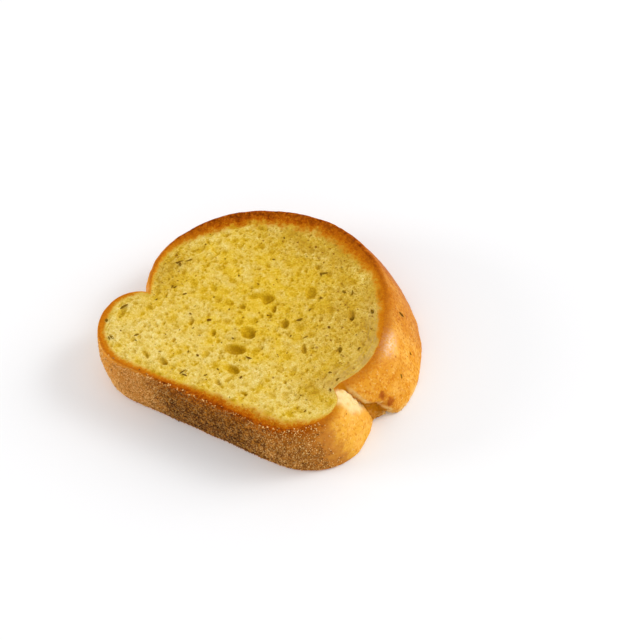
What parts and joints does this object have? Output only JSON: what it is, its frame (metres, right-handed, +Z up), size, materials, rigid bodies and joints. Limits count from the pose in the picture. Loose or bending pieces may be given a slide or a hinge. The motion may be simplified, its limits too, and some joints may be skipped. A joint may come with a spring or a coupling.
{
  "type": "garlic bread slice",
  "caption": "Thick toasted slice of garlic bread lying on its cut face: domed crust, flat grain-dusted base between rounded lobes, pitted buttery crumb with dried herb flecks.",
  "frame": {"origin": "middle of the footprint, on the lower cut face that the slice lies on", "axes": "+X along the flat base crust, +Y from the base crust to the top of the dome, +Z up through the thickness"},
  "size_m": [0.139, 0.1182, 0.0244],
  "materials": {
    "toasted_bread": "buttered crumb with a browned, slightly glossy crust",
    "dried_herb": "dry and matt",
    "cornmeal": "dry, fine grit"
  },
  "bodies": {
    "root": {"garlic_bread_slice": "toasted_bread"}
  },
  "joints": []
}
